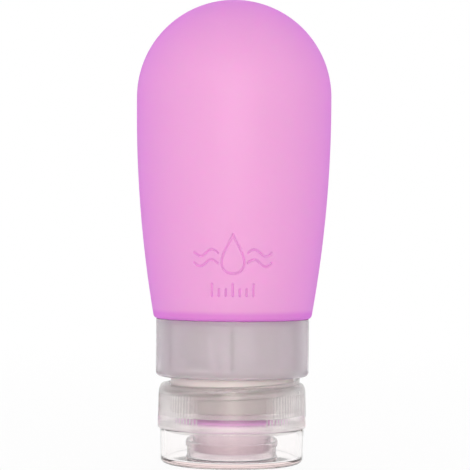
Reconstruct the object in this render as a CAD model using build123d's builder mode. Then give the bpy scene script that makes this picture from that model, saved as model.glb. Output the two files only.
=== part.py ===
from build123d import *
import math
import os

# A silicone squeeze bottle for travel that stands upside down on its flip-top screw cap.
# Millimetres. +Z is up, the flat foot of the lid lies at Z zero, and the bottle's axis is the
# Z axis. The front, with the collar's window, faces -Y. The lid's hinge is at +X and its
# thumb gap at -X.

# Heights, stacked from the foot of the lid to the top of the dome
lid_height = 8.5
parting_gap = 0.15
skirt_height = 10.65
neck_gap = 1.9
collar_height = 13.95
body_height = 77.8

# Allowances: flat seats, turning faces, the play of the turning collar, and how far a cut
# runs past the face that it opens
seat_fit = 0.1
running_gap = 0.3
collar_play = 0.05
overrun = 1.0
match = 0.01

# Silicone body
body_radius = 23.8
body_wall = 2.4
dome_straight = 2.2
shoulder_overhang = 0.55
shoulder_thickness = 2.4
shoulder_round = 1.0
shoulder_inner_round = 1.4
mouth_round = 0.8
sleeve_wall = 1.7

# Neck insert
neck_radius = 15.0
neck_wall = 2.8
neck_end_chamfer = 0.4
insert_sleeve_step = 0.45
insert_sleeve_top = 0.2
insert_lead_in = 0.9
barb_height = 0.12
barb_count = 3
barb_pitch = 2.9
flange_thickness = 1.2
flange_gap = 0.4
snap_bead_height = 0.5
snap_bead_reach = 0.5

# Ring of label fields on the neck, and the collar that turns round it
ring_fit = 0.16
ring_wall = 0.35
ring_end_gap = 1.3
ring_rib_count = 6
ring_rib_width = 0.7
ring_rib_height = 0.15
ring_rib_end_gap = 0.5
collar_gap = 0.35
collar_wall = 1.3
collar_web = 1.4
collar_round = 0.9
collar_rim_round = 0.25
window_half_angle = 41.0
window_rail = 2.6
window_end_flat = 1.35
window_panel = 0.6

# Cap: skirt, deck, spigot, nozzle
thread_room = 1.4
skirt_wall = 1.77
skirt_draft = 0.22
skirt_crown = 0.78
skirt_edge_round = 0.25
skirt_lead_in = 0.4
rib_band_bottom_gap = 0.65
rib_band_top_gap = 2.1
groove_count = 120
groove_depth = 0.24
groove_mouth = 0.62
groove_floor = 0.2
panel_half_angle = 24.5
hinge_panel_half_angle = 14.0
gasket_seat_height = 3.05
outer_deck_thickness = 1.5
spigot_gap = 0.25
spigot_wall = 1.1
spigot_depth = 0.95
socket_gap = 0.2
socket_wall = 1.45
valve_seat_height = 0.85
valve_ledge_width = 2.5
inner_deck_thickness = 1.2
nozzle_step = 1.2
nozzle_wall = 1.0
nozzle_flare = 0.5
nozzle_tip_gap = 1.2
nozzle_edge_chamfer = 0.25

# Gasket
gasket_thickness = 1.1
gasket_inset = 0.4

# Drip valve
valve_flange_thickness = 0.8
valve_height = 2.1
valve_slope = 1.35
valve_rim = 1.0
valve_membrane = 0.6
valve_dip = 0.7
dish_slope_width = 3.35
slit_length = 8.0
slit_width = 0.15

# Valve retainer
retainer_wall = 1.05
retainer_lip = 1.0
retainer_top_plate = 0.6

# Lid
lid_step = 0.62
lid_draft = 0.2
lid_wall = 1.0
lid_plate = 1.3
lid_edge_round = 1.1
lid_inner_round = 0.5
seal_wall = 0.65
seal_clearance = 0.4
seal_height = 3.7
seal_bead = 0.35
seal_bead_height = 1.5
seal_bead_chamfer = 0.2
notch_depth = 0.5
notch_half_width = 6.4
notch_slope = 0.5

# Hinge between lid and cap
barrel_inset = 0.22
barrel_radius = 1.05
barrel_half_width = 2.35
hinge_height = 1.15
arm_outer = 0.5
arm_inner = 0.7
arm_root = 1.2
pin_radius = 0.5
pin_length = 1.05
pin_clearance = 0.06
bay_gap = 0.25
bay_relief = 1.6

# Heights that follow
skirt_bottom = lid_height + parting_gap
skirt_top = skirt_bottom + skirt_height
collar_bottom = skirt_top + neck_gap
collar_top = collar_bottom + collar_height
web_top = collar_bottom + collar_web
snap_bead_top = collar_bottom - collar_play
snap_bead_bottom = snap_bead_top - snap_bead_height
window_middle = (web_top + collar_top) / 2
window_height = collar_top - web_top - 2 * window_rail
window_corner = (window_height - window_end_flat) / 2
flange_bottom = web_top + collar_play
flange_top = flange_bottom + flange_thickness
shoulder = collar_top + collar_play
shoulder_top = shoulder + shoulder_thickness
total_height = shoulder + body_height
dome_centre = total_height - body_radius
taper_top = dome_centre - dome_straight
insert_top = shoulder - insert_sleeve_top
ring_bottom = flange_top + seat_fit
ring_top = collar_top - ring_end_gap
gasket_seat = skirt_bottom + gasket_seat_height
neck_end = gasket_seat + gasket_thickness
rib_band_bottom = skirt_bottom + rib_band_bottom_gap
rib_band_top = skirt_top - rib_band_top_gap
rib_band_height = rib_band_top - rib_band_bottom
outer_deck = gasket_seat - outer_deck_thickness
valve_seat = skirt_bottom + valve_seat_height
valve_top = valve_seat + valve_height
retainer_ledge = valve_top + seat_fit
retainer_top = retainer_ledge + retainer_top_plate
barb_first = flange_top + barb_pitch
inner_deck = valve_seat - inner_deck_thickness
spigot_bottom = skirt_bottom - spigot_depth
nozzle_tip = lid_plate + nozzle_tip_gap
seal_top = lid_plate + seal_height
notch_floor = lid_height - notch_depth
hinge_z = skirt_bottom + hinge_height

# Radii that follow, from the neck outwards and from the neck inwards
neck_bore_radius = neck_radius - neck_wall
insert_sleeve_radius = neck_radius - insert_sleeve_step
sleeve_bore_radius = insert_sleeve_radius + barb_height + match
sleeve_radius = sleeve_bore_radius + sleeve_wall
ring_bore_radius = sleeve_radius + ring_fit
ring_radius = ring_bore_radius + ring_wall
collar_bore_radius = ring_radius + ring_rib_height + collar_gap
collar_radius = collar_bore_radius + collar_wall
flange_radius = collar_bore_radius - flange_gap
shoulder_radius = collar_radius + shoulder_overhang
shoulder_inner_radius = shoulder_radius - body_wall
skirt_bore_radius = neck_radius + thread_room
skirt_radius = skirt_bore_radius + skirt_wall
rib_band_top_radius = skirt_radius - skirt_draft
skirt_top_radius = rib_band_top_radius - skirt_crown
lid_rim_radius = skirt_radius - lid_step
lid_foot_radius = lid_rim_radius - lid_draft
spigot_radius = lid_rim_radius - lid_wall - spigot_gap
gasket_inner_radius = neck_bore_radius + gasket_inset
socket_outer_radius = gasket_inner_radius - socket_gap
socket_radius = socket_outer_radius - socket_wall
retainer_radius = socket_radius - seat_fit
retainer_bore_radius = retainer_radius - retainer_wall
valve_radius = retainer_bore_radius - seat_fit
valve_top_radius = valve_radius - valve_slope
valve_throat_radius = valve_top_radius - valve_rim
dish_radius = valve_throat_radius - valve_rim
dish_floor_radius = dish_radius - dish_slope_width
valve_ledge_radius = valve_radius - valve_ledge_width
nozzle_bore_radius = valve_ledge_radius + nozzle_step
nozzle_tip_radius = nozzle_bore_radius + nozzle_wall
nozzle_root_radius = nozzle_tip_radius + nozzle_flare
seal_bore_radius = nozzle_root_radius + seal_clearance
seal_radius = seal_bore_radius + seal_wall
hinge_x = skirt_radius - barrel_radius - barrel_inset
bay_radius = barrel_radius + bay_gap
bay_half_width = barrel_half_width + bay_gap
pin_half_span = barrel_half_width + pin_length


def rims_at(part, radius, height):
    """The round edges of a turned piece at one radius and height."""
    rims = part.edges().filter_by(GeomType.CIRCLE)
    return [
        rim
        for rim in rims
        if abs(rim.radius - radius) < match and abs(rim.arc_center.Z - height) < match
    ]


# Silicone body: a half ball on a long gentle taper, one even wall, and a thinner sleeve that
# reaches down inside the collar
with BuildPart() as bottle_body:
    with BuildSketch(Plane.XZ):
        with BuildLine():
            Line((0, total_height), (0, total_height - body_wall))
            RadiusArc((0, total_height), (body_radius, dome_centre), body_radius)
            Line((body_radius, dome_centre), (body_radius, taper_top))
            TangentArc(
                (body_radius, taper_top), (shoulder_radius, shoulder), tangent=(0, -1)
            )
            Polyline(
                (shoulder_radius, shoulder),
                (sleeve_radius, shoulder),
                (sleeve_radius, flange_top),
                (sleeve_bore_radius, flange_top),
                (sleeve_bore_radius, shoulder_top),
                (shoulder_inner_radius, shoulder_top),
            )
            TangentArc(
                (body_radius - body_wall, taper_top),
                (shoulder_inner_radius, shoulder_top),
                tangent=(0, -1),
            )
            Line((body_radius - body_wall, taper_top), (body_radius - body_wall, dome_centre))
            RadiusArc(
                (0, total_height - body_wall),
                (body_radius - body_wall, dome_centre),
                body_radius - body_wall,
            )
        make_face()
    revolve(axis=Axis.Z)
    fillet(rims_at(bottle_body.part, shoulder_radius, shoulder), shoulder_round)
    fillet(rims_at(bottle_body.part, shoulder_inner_radius, shoulder_top), shoulder_inner_round)
    fillet(rims_at(bottle_body.part, sleeve_bore_radius, shoulder_top), mouth_round)

# Neck insert: the rigid neck that the cap screws onto, the snap bead and flange that keep the
# collar in place, and the barbed tube that holds the silicone sleeve
with BuildPart() as neck_insert:
    with BuildSketch(Plane.XZ):
        with BuildLine():
            Polyline(
                (neck_bore_radius, neck_end),
                (neck_radius, neck_end),
                (neck_radius, snap_bead_bottom),
                (neck_radius + snap_bead_reach, snap_bead_top),
                (neck_radius, snap_bead_top),
                (neck_radius, flange_bottom),
                (flange_radius, flange_bottom),
                (flange_radius, flange_top),
                (insert_sleeve_radius, flange_top),
                (insert_sleeve_radius, insert_top),
                (neck_bore_radius, insert_top),
                close=True,
            )
        make_face()
        for barb in range(barb_count):
            barb_z = barb_first + barb * barb_pitch
            with BuildLine():
                Polyline(
                    (insert_sleeve_radius - barb_height, barb_z - barb_height),
                    (insert_sleeve_radius + barb_height, barb_z),
                    (insert_sleeve_radius - barb_height, barb_z + barb_pitch / 2),
                    close=True,
                )
            make_face()
    revolve(axis=Axis.Z)
    chamfer(rims_at(neck_insert.part, neck_radius, neck_end), neck_end_chamfer)
    chamfer(rims_at(neck_insert.part, neck_bore_radius, neck_end), neck_end_chamfer)
    chamfer(rims_at(neck_insert.part, neck_bore_radius, insert_top), insert_lead_in)

# Collar: a ring that turns on the neck, with a web under it and a long rounded window in front,
# where the wall is left thin enough to see the ring of fields behind it
window_width = 2 * collar_radius * math.sin(math.radians(window_half_angle))
with BuildPart() as collar:
    with BuildSketch(Plane.XZ):
        with BuildLine():
            Polyline(
                (neck_radius + running_gap, collar_bottom),
                (collar_radius, collar_bottom),
                (collar_radius, collar_top),
                (collar_bore_radius, collar_top),
                (collar_bore_radius, web_top),
                (neck_radius + running_gap, web_top),
                close=True,
            )
        make_face()
    revolve(axis=Axis.Z)
    fillet(rims_at(collar.part, collar_radius, collar_bottom), collar_round)
    fillet(rims_at(collar.part, collar_radius, collar_top), collar_rim_round)
    with BuildPart(mode=Mode.SUBTRACT):
        with BuildSketch(Plane.XZ):
            with Locations((0, window_middle)):
                RectangleRounded(window_width, window_height, window_corner)
        extrude(amount=collar_radius)
        with BuildSketch(Plane.XY.offset(collar_bottom)):
            Circle(collar_radius - window_panel)
        extrude(amount=collar_height, mode=Mode.INTERSECT)

# Ring of label fields that sits fast on the sleeve, parted by fine upright ribs
with BuildPart() as id_ring:
    with BuildSketch(Plane.XY.offset(ring_bottom)):
        Circle(ring_radius)
        Circle(ring_bore_radius, mode=Mode.SUBTRACT)
    extrude(amount=ring_top - ring_bottom)
    with BuildSketch(Plane.XY.offset(ring_bottom + ring_rib_end_gap)):
        with PolarLocations(ring_radius, ring_rib_count, start_angle=-90):
            Rectangle(2 * ring_rib_height, ring_rib_width)
    extrude(amount=ring_top - ring_bottom - 2 * ring_rib_end_gap)

# Flat gasket between the neck's end and the cap
with BuildPart() as cap_gasket:
    with BuildSketch(Plane.XY.offset(gasket_seat)):
        Circle(skirt_bore_radius - running_gap)
        Circle(gasket_inner_radius, mode=Mode.SUBTRACT)
    extrude(amount=gasket_thickness)

# One grip groove, a shallow flat-bottomed vee that follows the skirt's draft
with BuildPart() as grip_groove:
    for groove_z, groove_radius in (
        (rib_band_bottom, skirt_radius),
        (rib_band_top, rib_band_top_radius),
    ):
        with BuildSketch(Plane.XY.offset(groove_z)):
            with BuildLine():
                Polyline(
                    (groove_radius - groove_depth, groove_floor / 2),
                    (groove_radius + groove_depth, groove_mouth),
                    (groove_radius + groove_depth, -groove_mouth),
                    (groove_radius - groove_depth, -groove_floor / 2),
                    close=True,
                )
            make_face()
    loft()

# Cap: a skirt with grip ribs, a deck that steps down to the valve's seat, a spigot that the lid
# closes over, a wide nozzle, and a bay with blind pin holes for the lid's hinge
with BuildPart() as cap_base:
    with BuildSketch(Plane.XZ):
        with BuildLine():
            Polyline(
                (skirt_radius, skirt_bottom),
                (spigot_radius, skirt_bottom),
                (spigot_radius, spigot_bottom),
                (spigot_radius - spigot_wall, spigot_bottom),
                (spigot_radius - spigot_wall, outer_deck),
                (socket_outer_radius, outer_deck),
                (socket_outer_radius, inner_deck),
                (nozzle_root_radius, inner_deck),
                (nozzle_tip_radius, nozzle_tip),
                (nozzle_bore_radius, nozzle_tip),
                (nozzle_bore_radius, inner_deck),
                (valve_ledge_radius, inner_deck),
                (valve_ledge_radius, valve_seat),
                (socket_radius, valve_seat),
                (socket_radius, gasket_seat),
                (skirt_bore_radius, gasket_seat),
                (skirt_bore_radius, skirt_top),
                (skirt_top_radius, skirt_top),
            )
            TangentArc(
                (rib_band_top_radius, rib_band_top),
                (skirt_top_radius, skirt_top),
                tangent=(-skirt_draft, rib_band_height),
            )
            Polyline(
                (rib_band_top_radius, rib_band_top),
                (skirt_radius, rib_band_bottom),
                (skirt_radius, skirt_bottom),
            )
        make_face()
    revolve(axis=Axis.Z)
    fillet(rims_at(cap_base.part, skirt_radius, skirt_bottom), skirt_edge_round)
    chamfer(rims_at(cap_base.part, nozzle_tip_radius, nozzle_tip), nozzle_edge_chamfer)
    chamfer(rims_at(cap_base.part, skirt_bore_radius, skirt_top), skirt_lead_in)

    groove_places = []
    for groove in range(groove_count):
        turn = groove * 360 / groove_count
        from_front = min(abs(turn - 270), abs(turn - 90))
        from_hinge = min(turn, 360 - turn)
        if from_front > panel_half_angle and from_hinge > hinge_panel_half_angle:
            groove_places.append(Location((0, 0, 0), (0, 0, turn)))
    with Locations(*groove_places):
        add(grip_groove.part, mode=Mode.SUBTRACT)

    with BuildSketch(Plane.XZ):
        with BuildLine():
            Polyline(
                (hinge_x - bay_radius, hinge_z),
                (hinge_x - bay_radius, spigot_bottom - overrun),
                (skirt_radius + overrun, spigot_bottom - overrun),
                (skirt_radius + overrun, hinge_z + bay_relief),
                (hinge_x, hinge_z + bay_relief),
                (hinge_x, hinge_z + bay_radius),
            )
            RadiusArc(
                (hinge_x - bay_radius, hinge_z),
                (hinge_x, hinge_z + bay_radius),
                bay_radius,
            )
        make_face()
    extrude(amount=bay_half_width, both=True, mode=Mode.SUBTRACT)
    with BuildSketch(Plane.XZ):
        with Locations((hinge_x, hinge_z)):
            Circle(pin_radius + pin_clearance)
    extrude(amount=pin_half_span + seat_fit, both=True, mode=Mode.SUBTRACT)

# Drip valve: a thick rim, a sloping shoulder and a thin dished membrane with a cross slit
with BuildPart() as drip_valve:
    with BuildSketch(Plane.XZ):
        with BuildLine():
            Polyline(
                (0, valve_seat - valve_dip),
                (dish_floor_radius, valve_seat - valve_dip),
                (dish_radius, valve_seat),
                (valve_radius, valve_seat),
                (valve_radius, valve_seat + valve_flange_thickness),
                (valve_top_radius, valve_top),
                (valve_throat_radius, valve_top),
                (dish_radius, valve_seat + valve_membrane),
                (dish_floor_radius, valve_seat + valve_membrane - valve_dip),
                (0, valve_seat + valve_membrane - valve_dip),
                close=True,
            )
        make_face()
    revolve(axis=Axis.Z)
    with BuildSketch(Plane.XY.offset(valve_top)):
        Rectangle(slit_length, slit_width)
        Rectangle(slit_width, slit_length)
    extrude(amount=-valve_height - valve_dip - overrun, mode=Mode.SUBTRACT)

# Retainer: a ring that drops into the cap's socket and holds the valve down
with BuildPart() as valve_retainer:
    with BuildSketch(Plane.XZ):
        with BuildLine():
            Polyline(
                (retainer_bore_radius, valve_seat),
                (retainer_radius, valve_seat),
                (retainer_radius, retainer_top),
                (valve_top_radius - retainer_lip, retainer_top),
                (valve_top_radius - retainer_lip, retainer_ledge),
                (valve_top_radius + seat_fit, retainer_ledge),
                (retainer_bore_radius, valve_seat + valve_flange_thickness + seat_fit),
                close=True,
            )
        make_face()
    revolve(axis=Axis.Z)

# Lid: a shallow cup with a seal ring round the nozzle, a gap for a thumb, the same gap beside
# the hinge, and a barrel with two moulded pins
with BuildPart() as lid:
    with BuildSketch(Plane.XZ):
        with BuildLine():
            Polyline(
                (0, 0),
                (lid_foot_radius, 0),
                (lid_rim_radius, lid_height),
                (lid_rim_radius - lid_wall, lid_height),
                (lid_foot_radius - lid_wall, lid_plate),
                (seal_radius, lid_plate),
                (seal_radius, seal_top - seal_bead_height),
                (seal_radius + seal_bead, seal_top - seal_bead_height + seal_bead),
                (seal_radius + seal_bead, seal_top - seal_bead_chamfer),
                (seal_radius + seal_bead - seal_bead_chamfer, seal_top),
                (seal_bore_radius, seal_top),
                (seal_bore_radius, lid_plate),
                (0, lid_plate),
                close=True,
            )
        make_face()
    revolve(axis=Axis.Z)
    fillet(rims_at(lid.part, lid_foot_radius, 0), lid_edge_round)
    fillet(rims_at(lid.part, lid_foot_radius - lid_wall, lid_plate), lid_inner_round)
    with BuildSketch(Plane.YZ):
        with BuildLine():
            Polyline(
                (notch_half_width - notch_slope, notch_floor),
                (notch_half_width + notch_slope, lid_height + notch_depth),
                (-notch_half_width - notch_slope, lid_height + notch_depth),
                (-notch_half_width + notch_slope, notch_floor),
                close=True,
            )
        make_face()
    extrude(amount=lid_rim_radius + overrun, both=True, mode=Mode.SUBTRACT)
    with BuildSketch(Plane.XZ):
        with Locations((hinge_x, hinge_z)):
            Circle(barrel_radius)
        with BuildLine():
            Polyline(
                (hinge_x - arm_inner, notch_floor - arm_root),
                (hinge_x + arm_outer, notch_floor - arm_root),
                (hinge_x + arm_outer, hinge_z),
                (hinge_x - arm_inner, hinge_z),
                close=True,
            )
        make_face()
    extrude(amount=barrel_half_width, both=True)
    with BuildSketch(Plane.XZ):
        with Locations((hinge_x, hinge_z)):
            Circle(pin_radius)
    extrude(amount=pin_half_span, both=True)

os.makedirs("parts", exist_ok=True)
pieces = {
    "bottle_body": bottle_body,
    "neck_insert": neck_insert,
    "collar": collar,
    "id_ring": id_ring,
    "cap_gasket": cap_gasket,
    "cap_base": cap_base,
    "drip_valve": drip_valve,
    "valve_retainer": valve_retainer,
    "lid": lid,
}
for name, piece in pieces.items():
    piece.part.label = name
    export_step(piece.part, f"parts/{name}.step")
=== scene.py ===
import math

import bmesh
import bpy
import numpy as np
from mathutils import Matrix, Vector


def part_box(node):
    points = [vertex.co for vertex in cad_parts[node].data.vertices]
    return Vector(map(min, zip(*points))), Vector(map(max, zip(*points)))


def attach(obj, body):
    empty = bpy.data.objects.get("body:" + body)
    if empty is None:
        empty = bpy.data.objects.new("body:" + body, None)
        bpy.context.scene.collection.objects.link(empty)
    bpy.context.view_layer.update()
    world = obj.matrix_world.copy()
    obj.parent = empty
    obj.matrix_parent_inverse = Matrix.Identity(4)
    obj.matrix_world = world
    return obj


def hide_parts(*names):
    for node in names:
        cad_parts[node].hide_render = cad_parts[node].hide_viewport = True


# A soft squeeze bottle standing on its flip-top cap. Metres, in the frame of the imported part:
# +Z up, the front towards -Y, the lid's hinge towards +X.

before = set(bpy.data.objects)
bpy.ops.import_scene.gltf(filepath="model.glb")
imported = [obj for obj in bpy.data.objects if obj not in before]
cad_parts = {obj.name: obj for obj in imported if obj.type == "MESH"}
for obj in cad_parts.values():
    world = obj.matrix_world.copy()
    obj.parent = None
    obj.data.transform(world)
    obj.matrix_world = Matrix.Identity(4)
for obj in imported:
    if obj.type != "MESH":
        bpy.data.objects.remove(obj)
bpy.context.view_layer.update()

MM = 0.001
TURN = 2 * math.pi

# Sizes read from the frame
body_low, body_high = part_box("bottle_body")
neck_low, neck_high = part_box("neck_insert")
collar_low, collar_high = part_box("collar")
ring_low, ring_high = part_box("id_ring")
gasket_low, gasket_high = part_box("cap_gasket")
cap_low, cap_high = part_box("cap_base")
valve_low, valve_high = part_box("drip_valve")
retainer_low, retainer_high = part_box("valve_retainer")
lid_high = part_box("lid")[1]

body_radius = body_high[1]
total_height = body_high[2]
flange_top = body_low[2]
collar_radius = collar_high[1]
collar_bottom = collar_low[2]
collar_top = collar_high[2]
skirt_radius = cap_high[1]
skirt_top = cap_high[2]
nozzle_tip = cap_low[2]
lid_rim_radius = lid_high[1]
neck_end = neck_low[2]
insert_top = neck_high[2]
flange_radius = neck_high[1]

# Camera and picture: the photograph is 470 pixels square, taken level with the bottle's middle
picture_side = 470
camera_range_px = 1900
pixel_size = 0.245 * MM
horizon_height = 55.57 * MM
axis_offset_px = 1.8
bottle_lean = math.radians(0.42)
sensor_width = 36.0
nearest_seen = 10 * MM


def linked(name, data):
    """An object of the scene that holds a mesh, a lamp or a camera."""
    made = bpy.data.objects.new(name, data)
    bpy.context.scene.collection.objects.link(made)
    return made


def place_camera():
    """The camera at the photograph's place and angle."""
    data = bpy.data.cameras.new("camera")
    data.sensor_width = sensor_width
    data.lens = sensor_width * camera_range_px / picture_side
    data.clip_start = nearest_seen
    camera = linked("camera", data)
    camera.location = (
        axis_offset_px * pixel_size,
        -camera_range_px * pixel_size,
        horizon_height,
    )
    camera.rotation_euler = (math.pi / 2, -bottle_lean, 0)
    bpy.context.scene.camera = camera


place_camera()


# Outlines and turned pieces

edge_angle = math.radians(35)
# A point nearer to the axis than this lies on it
axis_reach = 1e-7
# How far a cutting tool reaches past what it cuts
overcut = 1.0 * MM
finish_slack = 0.02 * MM

# Roundings that most moulded edges share
crisp_edge = 0.15 * MM
plain_edge = 0.2 * MM
eased_edge = 0.25 * MM
soft_edge = 0.3 * MM


def rounded(corners, steps=6):
    """Points of an outline. A corner is (radius, height) or (radius, height, rounding)."""
    count = len(corners)
    points = []
    for place in range(count):
        here = np.array(corners[place][:2])
        if len(corners[place]) == 2:
            points.append(tuple(here))
            continue
        before = np.array(corners[place - 1][:2]) - here
        after = np.array(corners[(place + 1) % count][:2]) - here
        before /= np.linalg.norm(before)
        after /= np.linalg.norm(after)
        half = math.acos(float(np.clip(before @ after, -1, 1))) / 2
        rounding = corners[place][2]
        middle = before + after
        centre = here + middle / np.linalg.norm(middle) * rounding / math.sin(half)
        start = here + before * rounding / math.tan(half) - centre
        end = here + after * rounding / math.tan(half) - centre
        sweep = math.pi - 2 * half
        for step in range(steps + 1):
            share = step / steps
            part = math.sin((1 - share) * sweep), math.sin(share * sweep)
            points.append(tuple(centre + (start * part[0] + end * part[1]) / math.sin(sweep)))
    return points


def arc(centre, radius, start, end, steps):
    """Points of a round stretch, by angles in degrees."""
    angles = np.radians(np.linspace(start, end, steps + 1))
    return [(centre[0] + radius * math.cos(a), centre[1] + radius * math.sin(a)) for a in angles]


def eased(share):
    """A share from 0 to 1, eased at both ends."""
    return share * share * (3 - 2 * share)


def even_columns(count):
    """Column angles, evenly spaced round the axis."""
    return np.arange(count) * TURN / count


def mesh_data(mesh, name):
    """The finished mesh of an edit mesh, with all its faces turned outward."""
    bmesh.ops.recalc_face_normals(mesh, faces=mesh.faces)
    data = bpy.data.meshes.new(name)
    mesh.to_mesh(data)
    mesh.free()
    return data


def turned_mesh(name, points, columns, shape=None):
    """A closed mesh: an outline turned about Z. shape moves the radii of rows by column."""
    outline = np.array(points)
    radii = np.repeat(outline[:, :1], len(columns), axis=1)
    heights = np.repeat(outline[:, 1:], len(columns), axis=1)
    if shape:
        radii = shape(radii, heights, np.repeat(columns[None, :], len(points), axis=0))
    mesh = bmesh.new()
    rows = []
    for row in range(len(points)):
        if outline[row, 0] < axis_reach:
            rows.append([mesh.verts.new((0, 0, outline[row, 1]))])
            continue
        rows.append(
            [
                mesh.verts.new((r * math.cos(a), r * math.sin(a), z))
                for r, a, z in zip(radii[row], columns, heights[row])
            ]
        )
    for row in range(len(rows)):
        upper, lower = rows[row], rows[(row + 1) % len(rows)]
        if len(upper) == 1 and len(lower) == 1:
            continue
        for column in range(len(columns)):
            following = (column + 1) % len(columns)
            if len(upper) == 1:
                mesh.faces.new((upper[0], lower[column], lower[following]))
            elif len(lower) == 1:
                mesh.faces.new((upper[column], lower[0], upper[following]))
            else:
                mesh.faces.new(
                    (upper[column], lower[column], lower[following], upper[following])
                )
    return mesh_data(mesh, name)


def shade(data, sharp_angle=edge_angle):
    """Smooth shading that breaks at real edges."""
    data.polygons.foreach_set("use_smooth", [True] * len(data.polygons))
    data.set_sharp_from_angle(angle=sharp_angle)


def piece_from(name, data, sharp_angle=edge_angle):
    """A shown piece, shaded."""
    shade(data, sharp_angle)
    return linked(name, data)


def turned_piece(name, corners, columns, steps=6, shape=None):
    """A shown piece: a rounded outline turned about Z."""
    return piece_from(name, turned_mesh(name, rounded(corners, steps), columns, shape))


def within(values, limits):
    """Whether all the values lie between two limits, with a little slack."""
    return limits[0] - finish_slack < min(values) and max(values) < limits[1] + finish_slack


def finish_part(piece, material, radii, heights):
    """Gives the faces between two radii and two heights of a piece a finish of their own."""
    piece.data.materials.append(material)
    place = len(piece.data.materials) - 1
    for face in piece.data.polygons:
        points = [piece.data.vertices[corner].co for corner in face.vertices]
        reach = [math.hypot(point.x, point.y) for point in points]
        rise = [point.z for point in points]
        if within(reach, radii) and within(rise, heights):
            face.material_index = place


def combine(piece, tool, operation):
    """Cuts a tool out of a piece, or joins it on, and removes the tool."""
    change = piece.modifiers.new(operation.lower(), "BOOLEAN")
    change.operation = operation
    change.object = tool
    change.solver = "EXACT"
    bpy.context.view_layer.update()
    evaluated = piece.evaluated_get(bpy.context.evaluated_depsgraph_get())
    data = bpy.data.meshes.new_from_object(evaluated)
    piece.modifiers.clear()
    old = piece.data
    piece.data = data
    bpy.data.meshes.remove(old)
    bpy.data.objects.remove(tool)
    shade(data)


def prism(name, loop, start, end, across):
    """A closed bar: a loop of points in the plane that faces along across, from start to end."""
    order = {"x": (2, 0, 1), "y": (0, 2, 1), "z": (0, 1, 2)}[across]
    mesh = bmesh.new()
    ends = []
    for depth in (start, end):
        ring = []
        for point in loop:
            flat = (point[0], point[1], depth)
            ring.append(mesh.verts.new([flat[place] for place in order]))
        ends.append(ring)
    mesh.faces.new(ends[0])
    mesh.faces.new(reversed(ends[1]))
    for place in range(len(loop)):
        following = (place + 1) % len(loop)
        mesh.faces.new(
            (ends[0][place], ends[1][place], ends[1][following], ends[0][following])
        )
    return linked(name, mesh_data(mesh, name))


# Silicone body

# Play between the collar and each piece that it turns against
collar_end_play = 0.05 * MM
body_wall = 2.4 * MM
dome_straight = 2.2 * MM
shoulder_radius = 19.24 * MM
shoulder = collar_top + collar_end_play
shoulder_round = 1.0 * MM
shoulder_run = 1.4 * MM
inner_shoulder_round = 1.4 * MM
sleeve_radius = 16.38 * MM
sleeve_bore = 14.68 * MM
sleeve_root_round = 0.8 * MM
dome_centre = total_height - body_radius
taper_top = dome_centre - dome_straight
taper_drop = taper_top - shoulder
taper_radius = (taper_drop**2 + (body_radius - shoulder_radius) ** 2) / (
    2 * (body_radius - shoulder_radius)
)


def body_surface(height):
    """Radius of the body's outside at a height below the dome."""
    drop = np.clip(taper_top - height, 0, None)
    return body_radius - taper_radius + np.sqrt(taper_radius**2 - drop**2)


# Sunk motif: a plain drop between two small waves, with a row of measure ticks under it
motif_height = 51.1 * MM
motif_depth = 0.34 * MM
motif_line = 0.14 * MM
motif_edge = 0.16 * MM
drop_width = 3.9 * MM
drop_length = 9.2 * MM
wave_start = 3.6 * MM
wave_length = 5.8 * MM
wave_period = 5.8 * MM
wave_rise = 0.8 * MM
wave_levels = (-2.1 * MM, 0.3 * MM)
tick_height = 41.3 * MM
tick_gap = 1.65 * MM
tick_length = 2.7 * MM
tick_count = 7
long_tick_every = 3
short_tick_share = 0.55
drop_steps = 60
drop_pinch = 1.6
wave_steps = 40

# Rows and columns of the body's mesh, close together only in the patch that holds the motif
patch_bottom = 39.5 * MM
patch_top = 57.6 * MM
patch_half_angle = math.radians(29)
patch_step = 0.13 * MM
side_row = 2.0 * MM
foot_row = 0.8 * MM
foot_start = 1.8 * MM
dome_steps = 40
inner_dome_steps = 32
inner_side_rows = 24
inner_run = 3 * MM
inner_side_start = 4 * MM
side_column = math.radians(2.2)


def motif_lines():
    """The motif's strokes, as lists of points across and up the front."""
    drop = []
    for step in range(drop_steps + 1):
        turn = TURN * step / drop_steps
        pinch = math.sin(turn / 2) ** drop_pinch
        drop.append((drop_width * math.sin(turn) * pinch, drop_length / 2 * math.cos(turn)))
    strokes = [drop]
    for side in (-1, 1):
        for level in wave_levels:
            wave = []
            for step in range(wave_steps + 1):
                out = wave_length * step / wave_steps
                lift = wave_rise * math.sin(TURN * out / wave_period)
                wave.append((side * (wave_start + out), level + lift))
            strokes.append(wave)
    strokes = [[(x, z + motif_height) for x, z in stroke] for stroke in strokes]
    for tick in range(tick_count):
        across = (tick - (tick_count - 1) / 2) * tick_gap
        rise = tick_length * (1 if tick % long_tick_every == 0 else short_tick_share)
        strokes.append([(across, tick_height), (across, tick_height + rise)])
    return strokes


def stroke_distance(across, up):
    """Distance of each point of the front from the nearest stroke."""
    nearest = np.full(across.shape, np.inf)
    for stroke in motif_lines():
        for (x0, z0), (x1, z1) in zip(stroke, stroke[1:]):
            length = (x1 - x0) ** 2 + (z1 - z0) ** 2
            share = ((across - x0) * (x1 - x0) + (up - z0) * (z1 - z0)) / length
            share = np.clip(share, 0, 1)
            gap = np.hypot(across - x0 - share * (x1 - x0), up - z0 - share * (z1 - z0))
            nearest = np.minimum(nearest, gap)
    return nearest


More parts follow.
